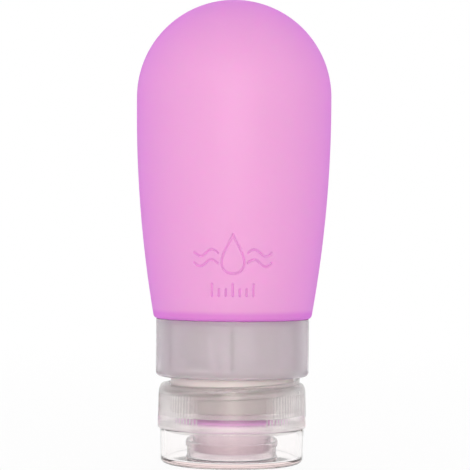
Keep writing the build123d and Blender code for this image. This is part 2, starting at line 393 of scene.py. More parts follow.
def body_outline():
    """The silicone's section, from the top of the dome outside to the top of the dome inside."""
    points = arc((0, dome_centre), body_radius, 90, 0, dome_steps)
    points[0] = (0, total_height)
    heights = list(np.arange(taper_top, patch_top, -side_row))
    heights += list(np.arange(patch_top, patch_bottom, -patch_step))
    heights += list(np.arange(patch_bottom, shoulder + foot_start, -foot_row))
    points += [(float(body_surface(h)), float(h)) for h in heights]
    outer_rows = len(points)
    lean = (body_surface(shoulder + MM) - body_surface(shoulder)) / MM
    inner_shoulder = shoulder_radius - body_wall
    shoulder_top = shoulder + body_wall
    lower = [
        (float(body_surface(shoulder + shoulder_run)), shoulder + shoulder_run),
        (shoulder_radius, shoulder, shoulder_round),
        (sleeve_radius, shoulder, soft_edge),
        (sleeve_radius, flange_top, plain_edge),
        (sleeve_bore, flange_top, plain_edge),
        (sleeve_bore, shoulder_top, sleeve_root_round),
        (inner_shoulder, shoulder_top, inner_shoulder_round),
        (inner_shoulder + inner_run * float(lean), shoulder_top + inner_run),
    ]
    points += rounded(lower)
    inner_heights = np.linspace(shoulder_top + inner_side_start, taper_top, inner_side_rows)
    inner_drop = (taper_top - inner_heights) / (taper_top - shoulder_top)
    inner_sag = body_radius - body_wall - inner_shoulder
    points += [
        (float(body_radius - body_wall - inner_sag * d**2), float(h))
        for d, h in zip(inner_drop, inner_heights)
    ]
    points += arc((0, dome_centre), body_radius - body_wall, 0, 90, inner_dome_steps)
    points[-1] = (0, total_height - body_wall)
    return points, outer_rows


def make_body():
    """The silicone body with its sunk motif in front."""
    points, outer_rows = body_outline()
    fine = np.arange(-patch_half_angle, patch_half_angle, patch_step / body_radius)
    coarse = np.arange(patch_half_angle, TURN - patch_half_angle, side_column)
    columns = np.concatenate([fine, coarse]) - math.pi / 2

    def sink_motif(radii, heights, angles):
        across = radii[:outer_rows] * (angles[:outer_rows] + math.pi / 2)
        gap = stroke_distance(across, heights[:outer_rows])
        share = np.clip((motif_line + motif_edge - gap) / motif_edge, 0, 1)
        radii = radii.copy()
        radii[:outer_rows] -= motif_depth * eased(share)
        return radii

    return piece_from("squeeze_body", turned_mesh("squeeze_body", points, columns, sink_motif))


# Neck insert with its thread

thread_pitch = 4.0 * MM
thread_turns = 1.3
thread_height = 0.85 * MM
thread_foot = 1.5 * MM
thread_crest = 0.6 * MM
thread_sunk = 0.12 * MM
thread_run_in = 1 / 8
thread_turn_steps = 96
thread_edge_angle = math.radians(60)
thread_start_angle = 0.4
thread_first = neck_end + 1.3 * MM
neck_radius = 15.0 * MM
neck_bore = 12.2 * MM
neck_mouth_round = 0.4 * MM
neck_foot_round = 0.9 * MM
neck_columns = 192
web_top = collar_bottom + 1.4 * MM
flange_bottom = web_top + collar_end_play
snap_bead_top = collar_bottom - collar_end_play
snap_bead_rise = 0.5 * MM
snap_bead_round = 0.1 * MM
tube_radius = 14.55 * MM
barb_count = 3
barb_spacing = 2.9 * MM
barb_length = 1.2 * MM
barb_rise = 0.12 * MM


def make_thread(name, root_radius, inward, start_height):
    """A raised right-hand thread, run in and out at its ends."""
    steps = int(thread_turn_steps * thread_turns)
    side = -1 if inward else 1
    mesh = bmesh.new()
    rings = []
    for step in range(steps + 1):
        share = step / steps
        turn = thread_start_angle + TURN * thread_turns * share
        height = start_height + thread_pitch * thread_turns * share
        rise = thread_height * eased(min(1, share / thread_run_in, (1 - share) / thread_run_in))
        section = [
            (-thread_sunk, thread_foot / 2),
            (rise, thread_crest / 2),
            (rise, -thread_crest / 2),
            (-thread_sunk, -thread_foot / 2),
        ]
        ring = []
        for out, up in section:
            radius = root_radius + side * out
            ring.append(
                mesh.verts.new((radius * math.cos(turn), radius * math.sin(turn), height + up))
            )
        rings.append(ring)
    for first, second in zip(rings, rings[1:]):
        for place in range(len(first)):
            following = (place + 1) % len(first)
            mesh.faces.new((first[place], second[place], second[following], first[following]))
    mesh.faces.new(rings[0])
    mesh.faces.new(reversed(rings[-1]))
    return piece_from(name, mesh_data(mesh, name), thread_edge_angle)


def make_neck():
    """The rigid neck: mouth, snap bead, flange and barbed tube."""
    corners = [
        (neck_bore, neck_end, neck_mouth_round),
        (neck_radius, neck_end, neck_mouth_round),
        (neck_radius, snap_bead_top - snap_bead_rise),
        (neck_radius + snap_bead_rise, snap_bead_top, snap_bead_round),
        (neck_radius, snap_bead_top),
        (neck_radius, flange_bottom),
        (flange_radius, flange_bottom, crisp_edge),
        (flange_radius, flange_top, crisp_edge),
        (tube_radius, flange_top),
    ]
    for barb in range(barb_count):
        height = flange_top + barb_spacing * (barb + 1)
        corners += [
            (tube_radius, height),
            (tube_radius + barb_rise, height),
            (tube_radius, height + barb_length),
        ]
    corners += [
        (tube_radius, insert_top, plain_edge),
        (neck_bore, insert_top, neck_foot_round),
    ]
    return turned_piece("neck", corners, even_columns(neck_columns), steps=4)


# Collar, its window, and the ring of fields behind it

collar_bore = 17.39 * MM
collar_play = 0.3 * MM
collar_foot_round = 0.9 * MM
collar_columns = 360
window_half_width = 12.26 * MM
window_rail = 2.6 * MM
window_corner = 3.0 * MM
window_corner_steps = 12
window_panel = 0.6 * MM
window_sink = 0.2 * MM
window_top = collar_top - window_rail
window_bottom = web_top + window_rail
ring_wall = 0.35 * MM
ring_edge = 0.08 * MM
ring_columns = 192
# Keeps the even columns clear of the ribs' own
ring_columns_turn = 0.011
ring_rib_count = 6
ring_rib_spacing = TURN / ring_rib_count
ring_rib_height = 0.14 * MM
ring_rib_half_width = 0.35 * MM
# A rib's foot and crest as shares of its half width
ring_rib_foot = 1.3
ring_rib_crest = 0.7
ring_rib_start = 0.5 * MM
ring_rib_full = 0.65 * MM
ring_rib_mark = 0.001 * MM
ring_rib_reach = math.radians(1.4)
# How far the pale band beside each rib reaches: painted light, for the bright band of light
# through the collar
painted_light_band_reach = math.radians(20)


def window_loop():
    """The window's outline across and up."""
    points = []
    low, high = window_bottom + window_corner, window_top - window_corner
    reach = window_half_width - window_corner
    for corner, centre in enumerate(((reach, high), (-reach, high), (-reach, low), (reach, low))):
        start = 90 * corner
        points += arc(centre, window_corner, start, start + 90, window_corner_steps)
    return points


def turned_disc(name, radius):
    """A solid disc as high as the collar."""
    corners = [(0, collar_bottom), (radius, collar_bottom), (radius, collar_top), (0, collar_top)]
    return turned_piece(name, corners, even_columns(collar_columns))


def make_collar():
    """The frosted collar, thinned from inside to a long rounded window in front."""
    bore = neck_radius + collar_play
    corners = [
        (bore, collar_bottom, plain_edge),
        (collar_radius, collar_bottom, collar_foot_round),
        (collar_radius, collar_top, eased_edge),
        (collar_bore, collar_top, plain_edge),
        (collar_bore, web_top),
        (bore, web_top),
    ]
    piece = turned_piece("collar_ring", corners, even_columns(collar_columns))
    pocket = turned_disc("pocket_tool", collar_radius - window_panel)
    combine(pocket, prism("pocket_window", window_loop(), -collar_radius, 0, "y"), "INTERSECT")
    combine(piece, pocket, "DIFFERENCE")
    face = prism("face_tool", window_loop(), -collar_radius - overcut, 0, "y")
    combine(face, turned_disc("face_core", collar_radius - window_sink), "DIFFERENCE")
    combine(piece, face, "DIFFERENCE")
    return piece


def make_ring():
    """The thin ring of fields, parted by fine upright ribs."""
    outer = ring_high[0]
    inner = outer - ring_wall
    bottom, top = ring_low[2], ring_high[2]
    half = ring_rib_half_width / outer
    foot, crest = ring_rib_foot * half, ring_rib_crest * half
    rib_angles = []
    for rib in range(ring_rib_count):
        middle = TURN * rib / ring_rib_count - math.pi / 2
        rib_angles += [middle + away for away in (-foot, -crest, 0, crest, foot)]
    even_angles = even_columns(ring_columns) + ring_columns_turn
    columns = np.sort(np.concatenate([even_angles, np.array(rib_angles)]) % TURN)
    # The rows that the ribs raise are marked by lying a hair further out
    marked = outer + ring_rib_mark
    corners = [
        (inner, bottom, ring_edge),
        (outer, bottom, ring_edge),
        (outer, bottom + ring_rib_start),
        (marked, bottom + ring_rib_full),
        (marked, top - ring_rib_full),
        (outer, top - ring_rib_start),
        (outer, top, ring_edge),
        (inner, top, ring_edge),
    ]

    def raise_ribs(radii, heights, angles):
        turn = (angles + math.pi / 2) % ring_rib_spacing
        turn = np.minimum(turn, ring_rib_spacing - turn)
        share = np.clip((foot - turn) / (foot - crest), 0, 1)
        raised = (radii > outer + ring_rib_mark / 2).astype(float)
        return radii + ring_rib_height * share * raised

    return turned_piece("field_ring", corners, columns, steps=3, shape=raise_ribs)


def finish_fields(piece, rib_material, painted_light_band_material):
    """Gives the ring's ribs a finish of their own, and a pale band beside each rib: painted
    light.
    """
    piece.data.materials.append(rib_material)
    piece.data.materials.append(painted_light_band_material)
    for face in piece.data.polygons:
        turn = (math.atan2(face.center.y, face.center.x) + math.pi / 2) % ring_rib_spacing
        turn = min(turn, ring_rib_spacing - turn)
        if turn < ring_rib_reach:
            face.material_index = 1
        # The pale band beside a rib: painted light
        elif turn < painted_light_band_reach:
            face.material_index = 2


# Cap: skirt with grip ribs, deck, spigot and nozzle, gasket

# Skirt
skirt_bottom = 8.65 * MM
skirt_bore = 16.4 * MM
skirt_least_wall = 0.9 * MM
skirt_mouth_round = 0.35 * MM
rib_band_bottom = skirt_bottom + 0.65 * MM
rib_band_top = rib_band_bottom + 7.9 * MM
rib_band_top_radius = 17.95 * MM
rib_band_rows = 9
rib_band_end_row = 0.16 * MM
# The crown above the ribs: radius and height over the band
crown_points = ((17.9 * MM, 0.6 * MM), (17.72 * MM, 1.2 * MM))
crown_top_radius = 17.32 * MM
crown_round = 0.55 * MM

# Deck, seats, spigot and nozzle
gasket_seat = gasket_low[2]
valve_seat = retainer_low[2]
inner_deck = valve_seat - 1.2 * MM
outer_deck = gasket_seat - 1.5 * MM
spigot_radius = 16.3 * MM
spigot_wall = 1.1 * MM
spigot_bottom = skirt_bottom - 0.95 * MM
nozzle_root_radius = 9.9 * MM
nozzle_tip_radius = 9.4 * MM
nozzle_bore = 8.4 * MM
nozzle_root_round = 0.4 * MM
socket_radius = 10.95 * MM
socket_outer_radius = 12.4 * MM
valve_ledge = 7.2 * MM

# Grip grooves and the smooth panels between them
groove_count = 120
groove_depth = 0.26 * MM
groove_mouth = 0.66 * MM
groove_floor = 0.2 * MM
groove_run_out = 0.15 * MM
panel_half_angle = math.radians(24.5)
hinge_panel_half_angle = math.radians(14)

# Hinge axis, the lid's barrel and pins, and the bay and holes that take them
hinge_reach = 16.9 * MM
hinge_z = skirt_bottom + 1.15 * MM
barrel_radius = 1.05 * MM
barrel_half_width = 2.35 * MM
bay_half_width = 2.6 * MM
bay_radius = 1.3 * MM
bay_relief = 1.6 * MM
bay_arc_end = 174
bay_arc_steps = 8
pin_radius = 0.5 * MM
pin_half_span = 3.4 * MM
pin_play = 0.06 * MM
pin_end_play = 0.1 * MM
pin_sides = 24

# Gasket
gasket_bore = 12.6 * MM
gasket_columns = 160


def turn_gap(angles, middle):
    """Unsigned angle between each column and a direction."""
    return np.abs((angles - middle + math.pi) % TURN - math.pi)


def groove_columns():
    """Column angles that fall on every edge of every groove."""
    pitch = TURN / groove_count
    half_mouth = groove_mouth / 2 / skirt_radius
    half_floor = groove_floor / 2 / skirt_radius
    offsets = (-half_mouth, -half_floor, half_floor, half_mouth, pitch / 2)
    return np.sort(np.array([g * pitch + o for g in range(groove_count) for o in offsets]))


def cut_grooves(radii, heights, angles):
    """The skirt's outside with its upright grooves cut in."""
    pitch = TURN / groove_count
    away = np.abs((angles + pitch / 2) % pitch - pitch / 2) * radii
    depth = np.clip((groove_mouth / 2 - away) / (groove_mouth - groove_floor) * 2, 0, 1)
    middle = np.round(angles / pitch) * pitch
    front = np.minimum(turn_gap(middle, -math.pi / 2), turn_gap(middle, math.pi / 2))
    kept = (front > panel_half_angle) & (turn_gap(middle, 0) > hinge_panel_half_angle)
    low = np.clip((heights - rib_band_bottom) / groove_run_out, 0, 1)
    high = np.clip((rib_band_top - heights) / groove_run_out, 0, 1)
    outside = radii > skirt_bore + skirt_least_wall
    return radii - groove_depth * depth * low * high * kept * outside


def hinge_bar(name, radius, half_span):
    """A round bar on the hinge's axis."""
    step = 360 / pin_sides
    loop = arc((hinge_reach, hinge_z), radius, 0, 360 - step, pin_sides - 1)
    return prism(name, loop, -half_span, half_span, "y")


def make_cap():
    """The screw cap, with a bay and two pin holes for the lid's hinge."""
    band = []
    for height in np.linspace(rib_band_bottom, rib_band_top, rib_band_rows):
        share = (height - rib_band_bottom) / (rib_band_top - rib_band_bottom)
        radius = skirt_radius + (rib_band_top_radius - skirt_radius) * share
        band.append((float(radius), float(height)))
    (low_radius, low), (high_radius, high) = band[0], band[-1]
    band += [(low_radius, low + rib_band_end_row), (high_radius, high - rib_band_end_row)]
    band.sort(key=lambda point: point[1])
    crown = [(radius, rib_band_top + rise) for radius, rise in crown_points]
    spigot_bore = spigot_radius - spigot_wall
    corners = [
        (skirt_radius, skirt_bottom, eased_edge),
        *band,
        *crown,
        (crown_top_radius, skirt_top, crown_round),
        (skirt_bore, skirt_top, skirt_mouth_round),
        (skirt_bore, gasket_seat),
        (socket_outer_radius, gasket_seat),
        (socket_radius, gasket_seat, crisp_edge),
        (socket_radius, valve_seat),
        (valve_ledge, valve_seat, crisp_edge),
        (valve_ledge, inner_deck, plain_edge),
        (nozzle_bore, inner_deck),
        (nozzle_bore, nozzle_tip, soft_edge),
        (nozzle_tip_radius, nozzle_tip, soft_edge),
        (nozzle_root_radius, inner_deck, nozzle_root_round),
        (socket_outer_radius, inner_deck, plain_edge),
        (socket_outer_radius, outer_deck, soft_edge),
        (spigot_bore, outer_deck, soft_edge),
        (spigot_bore, spigot_bottom, plain_edge),
        (spigot_radius, spigot_bottom, eased_edge),
        (spigot_radius, skirt_bottom),
    ]
    piece = turned_piece("screw_cap", corners, groove_columns(), steps=4, shape=cut_grooves)
    inside, outside = hinge_reach - bay_radius, skirt_radius + overcut
    below, above = spigot_bottom - overcut, hinge_z + bay_relief
    bay = [(inside, hinge_z), (inside, below), (outside, below), (outside, above)]
    bay.append((hinge_reach, above))
    bay += arc((hinge_reach, hinge_z), bay_radius, 90, bay_arc_end, bay_arc_steps)
    combine(piece, prism("bay_tool", bay, -bay_half_width, bay_half_width, "y"), "DIFFERENCE")
    holes = hinge_bar("hole_tool", pin_radius + pin_play, pin_half_span + pin_end_play)
    combine(piece, holes, "DIFFERENCE")
    return piece


def make_gasket():
    """The flat seal inside the cap, with softened edges."""
    outer, low, high = gasket_high[1], gasket_low[2], gasket_high[2]
    corners = [
        (gasket_bore, low, eased_edge),
        (outer, low, eased_edge),
        (outer, high, eased_edge),
        (gasket_bore, high, eased_edge),
    ]
    return turned_piece("seal_ring", corners, even_columns(gasket_columns))


# Drip valve and its retainer

valve_columns = 128
valve_skin = 0.6 * MM
valve_dish_radius = 3.0 * MM
valve_dish_round = 1.5 * MM
valve_knee_radius = 6.35 * MM
valve_knee_round = 0.5 * MM
valve_rim_height = 0.8 * MM
valve_top_outer = 8.35 * MM
valve_top_inner = 7.35 * MM
slit_half_length = 4.0 * MM
slit_half_width = 0.075 * MM
retainer_foot_radius = 9.8 * MM
retainer_foot_height = 0.9 * MM
retainer_hollow = 8.45 * MM
retainer_bore = 7.35 * MM
retainer_lip = 0.6 * MM


def make_valve():
    """The drip valve: thick rim, sloping shoulder and a dished middle with a cross slit."""
    rim, low, top = valve_high[1], valve_low[2], valve_high[2]
    corners = [
        (0, low),
        (valve_dish_radius, low, valve_dish_round),
        (valve_knee_radius, valve_seat, valve_knee_round),
        (rim, valve_seat, crisp_edge),
        (rim, valve_seat + valve_rim_height, crisp_edge),
        (valve_top_outer, top, plain_edge),
        (valve_top_inner, top, plain_edge),
        (valve_knee_radius, valve_seat + valve_skin, valve_knee_round),
        (valve_dish_radius, low + valve_skin, valve_dish_round),
        (0, low + valve_skin),
    ]
    piece = turned_piece("slit_valve", corners, even_columns(valve_columns))
    sizes = (slit_half_length, slit_half_width)
    for width, depth in (sizes, sizes[::-1]):
        loop = [(-width, -depth), (width, -depth), (width, depth), (-width, depth)]
        combine(piece, prism("slit_tool", loop, low - overcut, top + overcut, "z"), "DIFFERENCE")
    return piece


def make_retainer():
    """The ring that holds the valve on its seat."""
    outer, top = retainer_high[1], retainer_high[2]
    corners = [
        (retainer_foot_radius, valve_seat),
        (outer, valve_seat, crisp_edge),
        (outer, top, soft_edge),
        (retainer_bore, top, plain_edge),
        (retainer_bore, top - retainer_lip, plain_edge),
        (retainer_hollow, top - retainer_lip),
        (retainer_foot_radius, valve_seat + retainer_foot_height),
    ]
    return turned_piece("valve_ring", corners, even_columns(valve_columns))


# Lid

lid_height = 8.5 * MM
lid_foot_radius = 17.35 * MM
lid_wall = 1.0 * MM
lid_plate = 1.3 * MM
lid_foot_round = 1.1 * MM
lid_inner_round = 0.5 * MM
lid_columns = 256
seal_bore = 10.3 * MM
seal_radius = 10.95 * MM
seal_bead = 0.35 * MM
seal_bead_height = 1.5 * MM
seal_top = lid_plate + 3.7 * MM
notch_depth = 0.5 * MM
notch_half_width = 6.4 * MM
notch_slope = 0.5 * MM
# The hinge arm: how far its root lies under the notch and reaches in and out from the axis, and
# where its round end starts and stops, in degrees
arm_root_drop = 1.2 * MM
arm_reach_out = 0.5 * MM
arm_reach_in = 0.7 * MM
arm_round_start = -55
arm_round_end = 228
arm_round_steps = 24


def make_lid():
    """The clear lid: cup, seal ring, thumb gap, hinge barrel and pins."""
    bead_radius = seal_radius + seal_bead
    bead_bottom = seal_top - seal_bead_height
    corners = [
        (0, 0),
        (lid_foot_radius, 0, lid_foot_round),
        (lid_rim_radius, lid_height, eased_edge),
        (lid_rim_radius - lid_wall, lid_height, eased_edge),
        (lid_foot_radius - lid_wall, lid_plate, lid_inner_round),
        (seal_radius, lid_plate, eased_edge),
        (seal_radius, bead_bottom, plain_edge),
        (bead_radius, bead_bottom + seal_bead, crisp_edge),
        (bead_radius, seal_top, soft_edge),
        (seal_bore, seal_top, plain_edge),
        (seal_bore, lid_plate, soft_edge),
        (0, lid_plate),
    ]
    piece = turned_piece("flip_lid", corners, even_columns(lid_columns))
    narrow, wide = notch_half_width - notch_slope, notch_half_width + notch_slope
    low, high = lid_height - notch_depth, lid_height + notch_depth
    gap = [(narrow, low), (wide, high), (-wide, high), (-narrow, low)]
    reach = lid_rim_radius + overcut
    combine(piece, prism("notch_tool", gap, -reach, reach, "x"), "DIFFERENCE")
    root = low - arm_root_drop
    arm = [(hinge_reach - arm_reach_in, root), (hinge_reach + arm_reach_out, root)]
    centre = (hinge_reach, hinge_z)
    arm += arc(centre, barrel_radius, arm_round_start, arm_round_end, arm_round_steps)
    combine(piece, prism("arm_tool", arm, -barrel_half_width, barrel_half_width, "y"), "UNION")
    combine(piece, hinge_bar("pin_tool", pin_radius, pin_half_span), "UNION")
    return piece


# Surface effects that several materials share, with texture scales per metre

grain_scale = 900.0
grain_detail = 3
grain_bump = 0.03
grain_bump_height = 0.1 * MM
roughness_patch_scale = 90
usual_roughness = 0.4
usual_spread = 0.06
drift_scale = 40.0
drift_detail = 2
sheen_roughness = 0.8
plain_grey = (0.8, 0.8, 0.8, 1)


def joined(nodes, links, operation, first, second):
    """The result of one calculation on two sockets, or on a socket and a number."""
    node = nodes.new("ShaderNodeMath")
    node.operation = operation
    links.new(first, node.inputs[0])
    if isinstance(second, float):
        node.inputs[1].default_value = second
    else:
        links.new(second, node.inputs[1])
    return node.outputs[0]


def new_group(name, inputs, outputs):
    """A shader node group with named sockets. A socket is (name, type, value)."""
    group = bpy.data.node_groups.new(name, "ShaderNodeTree")
    for socket, kind, value in inputs:
        made = group.interface.new_socket(socket, in_out="INPUT", socket_type=kind)
        made.default_value = value
    for socket, kind in outputs:
        group.interface.new_socket(socket, in_out="OUTPUT", socket_type=kind)
    entry = group.nodes.new("NodeGroupInput")
    leave = group.nodes.new("NodeGroupOutput")
    return group, entry, leave


def moulded_surface():
    """Fine moulded grain: a changing roughness and a height for bump."""
    group, entry, leave = new_group(
        "moulded_surface",
        [
            ("Grain Size", "NodeSocketFloat", grain_scale),
            ("Roughness", "NodeSocketFloat", usual_roughness),
            ("Roughness Spread", "NodeSocketFloat", usual_spread),
        ],
        [("Roughness", "NodeSocketFloat"), ("Height", "NodeSocketFloat")],
    )
    nodes, links = group.nodes, group.links
    place = nodes.new("ShaderNodeTexCoord")
    grain = nodes.new("ShaderNodeTexNoise")
    grain.inputs["Detail"].default_value = grain_detail
    patches = nodes.new("ShaderNodeTexNoise")
    patches.inputs["Scale"].default_value = roughness_patch_scale
    links.new(place.outputs["Object"], grain.inputs["Vector"])
    links.new(place.outputs["Object"], patches.inputs["Vector"])
    links.new(entry.outputs["Grain Size"], grain.inputs["Scale"])
    centred = joined(nodes, links, "SUBTRACT", patches.outputs["Fac"], 0.5)
    change = joined(nodes, links, "MULTIPLY", centred, entry.outputs["Roughness Spread"])
    roughness = joined(nodes, links, "ADD", change, entry.outputs["Roughness"])
    links.new(roughness, leave.inputs["Roughness"])
    links.new(grain.outputs["Fac"], leave.inputs["Height"])
    return group


def colour_drift():
    """A slow change between two near colours, over the surface."""
    group, entry, leave = new_group(
        "colour_drift",
        [
            ("Colour", "NodeSocketColor", plain_grey),
            ("Drift Colour", "NodeSocketColor", plain_grey),
            ("Size", "NodeSocketFloat", drift_scale),
        ],
        [("Colour", "NodeSocketColor")],
    )
    nodes, links = group.nodes, group.links
    place = nodes.new("ShaderNodeTexCoord")
    clouds = nodes.new("ShaderNodeTexNoise")
    clouds.inputs["Detail"].default_value = drift_detail
    blend = nodes.new("ShaderNodeMix")
    blend.data_type = "RGBA"
    links.new(place.outputs["Object"], clouds.inputs["Vector"])
    links.new(entry.outputs["Size"], clouds.inputs["Scale"])
    links.new(clouds.outputs["Fac"], blend.inputs["Factor"])
    links.new(entry.outputs["Colour"], blend.inputs["A"])
    links.new(entry.outputs["Drift Colour"], blend.inputs["B"])
    links.new(blend.outputs["Result"], leave.inputs["Colour"])
    return group


def thick_foot_and_painted_shade():
    """A colour that turns deeper below a height: on the silicone where it is thick, on the neck
    as painted shade inside the cap.
    """
    group, entry, leave = new_group(
        "thick_foot_and_painted_shade",
        [
            ("Colour", "NodeSocketColor", plain_grey),
            ("Foot Colour", "NodeSocketColor", plain_grey),
            ("Foot Height", "NodeSocketFloat", 0.0),
            ("Fade", "NodeSocketFloat", MM),
        ],
        [("Colour", "NodeSocketColor")],
    )
    nodes, links = group.nodes, group.links
    place = nodes.new("ShaderNodeTexCoord")
    split = nodes.new("ShaderNodeSeparateXYZ")
    foot_height, fade = entry.outputs["Foot Height"], entry.outputs["Fade"]
    share = nodes.new("ShaderNodeMapRange")
    share.interpolation_type = "SMOOTHSTEP"
    blend = nodes.new("ShaderNodeMix")
    blend.data_type = "RGBA"
    links.new(place.outputs["Object"], split.inputs[0])
    links.new(split.outputs["Z"], share.inputs["Value"])
    links.new(foot_height, share.inputs["From Min"])
    links.new(joined(nodes, links, "ADD", foot_height, fade), share.inputs["From Max"])
    links.new(share.outputs["Result"], blend.inputs["Factor"])
    links.new(entry.outputs["Foot Colour"], blend.inputs["A"])
    links.new(entry.outputs["Colour"], blend.inputs["B"])
    links.new(blend.outputs["Result"], leave.inputs["Colour"])
    return group


surface_group = moulded_surface()
drift_group = colour_drift()
foot_and_shade_group = thick_foot_and_painted_shade()


# Materials


def moulded_material(
    name,
    colour,
    drift,
    roughness,
    spread=usual_spread,
    transmission=0.0,
    subsurface=0.0,
    ior=1.46,
    depth=(0.004, 0.002, 0.003),
    tint=None,
    density=0.0,
    cover=1.0,
    foot_colour=None,
    foot_height=0.0,
    foot_fade=MM,
    sheen=0.0,
    sheen_tint=(1.0, 1.0, 1.0),
):
    """A moulded plastic or rubber: drifting colour, fine grain, and a tint in its depth."""
    material = bpy.data.materials.new(name)
    material.use_nodes = True
    nodes, links = material.node_tree.nodes, material.node_tree.links
    shader = nodes["Principled BSDF"]
    shader.inputs["IOR"].default_value = ior
    shader.inputs["Transmission Weight"].default_value = transmission
    shader.inputs["Subsurface Weight"].default_value = subsurface
    shader.inputs["Subsurface Radius"].default_value = depth
    shader.inputs["Subsurface Scale"].default_value = 1
    shader.inputs["Alpha"].default_value = cover
    shader.inputs["Sheen Weight"].default_value = sheen
    shader.inputs["Sheen Roughness"].default_value = sheen_roughness
    shader.inputs["Sheen Tint"].default_value = (*sheen_tint, 1)
    surface = nodes.new("ShaderNodeGroup")
    surface.node_tree = surface_group
    surface.inputs["Roughness"].default_value = roughness
    surface.inputs["Roughness Spread"].default_value = spread
    cloud = nodes.new("ShaderNodeGroup")
    cloud.node_tree = drift_group
    cloud.inputs["Colour"].default_value = (*colour, 1)
    cloud.inputs["Drift Colour"].default_value = (*drift, 1)
    relief = nodes.new("ShaderNodeBump")
    relief.inputs["Strength"].default_value = grain_bump
    relief.inputs["Distance"].default_value = grain_bump_height
    tone = cloud.outputs["Colour"]
    # A deeper colour below a height: thickness on the silicone, painted shade on the neck
    if foot_colour:
        foot = nodes.new("ShaderNodeGroup")
        foot.node_tree = foot_and_shade_group
        foot.inputs["Foot Colour"].default_value = (*foot_colour, 1)
        foot.inputs["Foot Height"].default_value = foot_height
        foot.inputs["Fade"].default_value = foot_fade
        links.new(tone, foot.inputs["Colour"])
        tone = foot.outputs["Colour"]
    links.new(tone, shader.inputs["Base Color"])
    links.new(surface.outputs["Roughness"], shader.inputs["Roughness"])
    links.new(surface.outputs["Height"], relief.inputs["Height"])
    links.new(relief.outputs["Normal"], shader.inputs["Normal"])
    if tint:
        depth_tint = nodes.new("ShaderNodeVolumeAbsorption")
        depth_tint.inputs["Color"].default_value = (*tint, 1)
        depth_tint.inputs["Density"].default_value = density
        links.new(depth_tint.outputs["Volume"], nodes["Material Output"].inputs["Volume"])
    return material


silicone = moulded_material(
    "silicone",
    colour=(0.93, 0.495, 0.74),
    drift=(0.91, 0.475, 0.72),
    roughness=0.5,
    transmission=0.35,
    subsurface=0.6,
    ior=1.41,
    depth=(0.006, 0.003, 0.005),
    tint=(0.90, 0.10, 0.86),
    density=90,
    foot_colour=(0.82, 0.31, 0.70),
    foot_height=shoulder + 1.3 * MM,
    foot_fade=1.3 * MM,
    sheen=0.7,
    sheen_tint=(0.70, 0.07, 0.86),
)
frosted_plastic = moulded_material(
    "frosted_plastic",
    colour=(0.775, 0.72, 0.765),
    drift=(0.76, 0.705, 0.75),
    roughness=0.2,
    spread=0.02,
    transmission=0.72,
    subsurface=0.2,
    ior=1.12,
)
ring_plastic = moulded_material(
    "ring_plastic",
    colour=(0.80, 0.72, 0.76),
    drift=(0.77, 0.69, 0.73),
    roughness=0.4,
    transmission=0.3,
)
rib_plastic = moulded_material(
    "rib_plastic",
    colour=(0.50, 0.42, 0.47),
    drift=(0.48, 0.40, 0.45),
    roughness=0.4,
    transmission=0.3,
)
# Pale bands beside the ring's ribs: painted light, for light shining through the collar
painted_light_band_plastic = moulded_material(
    "painted_light_band_plastic",
    colour=(0.94, 0.88, 0.93),
    drift=(0.92, 0.86, 0.91),
    roughness=0.4,
    transmission=0.3,
)
# Much darker below the cap's top: painted shade on the neck inside the cap
natural_plastic = moulded_material(
    "natural_plastic",
    colour=(0.84, 0.75, 0.76),
    drift=(0.82, 0.73, 0.74),
    roughness=0.35,
    transmission=0.1,
    subsurface=0.4,
    foot_colour=(0.43, 0.38, 0.39),
    foot_height=skirt_top - 0.4 * MM,
    foot_fade=0.8 * MM,
)
cap_plastic = moulded_material(
    "cap_plastic",
    colour=(0.985, 0.935, 0.94),
    drift=(0.975, 0.925, 0.93),
    roughness=0.23,
    spread=0.02,
    transmission=0.9,
    ior=1.45,
    cover=0.72,
)
deck_plastic = moulded_material(
    "deck_plastic",
    colour=(1.0, 0.95, 0.95),
    drift=(0.99, 0.94, 0.94),
    roughness=0.23,
    spread=0.02,
    transmission=0.7,
    ior=1.2,
    cover=0.35,
)
nozzle_plastic = moulded_material(
    "nozzle_plastic",
    colour=(0.93, 0.83, 0.86),
    drift=(0.91, 0.81, 0.84),
    roughness=0.2,
    spread=0.02,
    transmission=0.85,
    ior=1.45,
    cover=0.85,
)
socket_plastic = moulded_material(
    "socket_plastic",
    colour=(0.97, 0.93, 0.925),
    drift=(0.96, 0.92, 0.915),
    roughness=0.1,
    transmission=0.95,
    ior=1.2,
    cover=0.15,
)
clear_plastic = moulded_material(
    "clear_plastic",
    colour=(0.999, 0.995, 0.994),
    drift=(0.996, 0.992, 0.991),
    roughness=0.04,
    spread=0.02,
    transmission=1.0,
    ior=1.33,
    tint=(0.82, 0.42, 0.38),
    density=15,
)
seal_plastic = moulded_material(
    "seal_plastic",
    colour=(0.93, 0.86, 0.88),
    drift=(0.92, 0.85, 0.87),
    roughness=0.2,
    spread=0.02,
    transmission=0.95,
    ior=1.3,
)
retainer_plastic = moulded_material(
    "retainer_plastic",
    colour=(0.86, 0.80, 0.79),
    drift=(0.84, 0.78, 0.77),
    roughness=0.2,
    cover=0.04,
)
valve_silicone = moulded_material(
    "valve_silicone",
    colour=(1.0, 0.43, 0.96),
    drift=(0.98, 0.40, 0.94),
    roughness=0.45,
    subsurface=0.2,
    ior=1.41,
)
seal_rubber = moulded_material(
    "seal_rubber",
    colour=(0.97, 0.92, 0.92),
    drift=(0.95, 0.90, 0.90),
    roughness=0.5,
    transmission=0.5,
    cover=0.4,
)

# Pieces, each on its body and in place of its solid

body = make_body()
neck = make_neck()
neck_thread = make_thread("neck_thread", neck_radius, False, thread_first)
collar = make_collar()
ring = make_ring()
gasket = make_gasket()
cap = make_cap()
cap_thread = make_thread("cap_thread", skirt_bore, True, thread_first + thread_pitch / 2)
valve = make_valve()
retainer = make_retainer()
lid = make_lid()

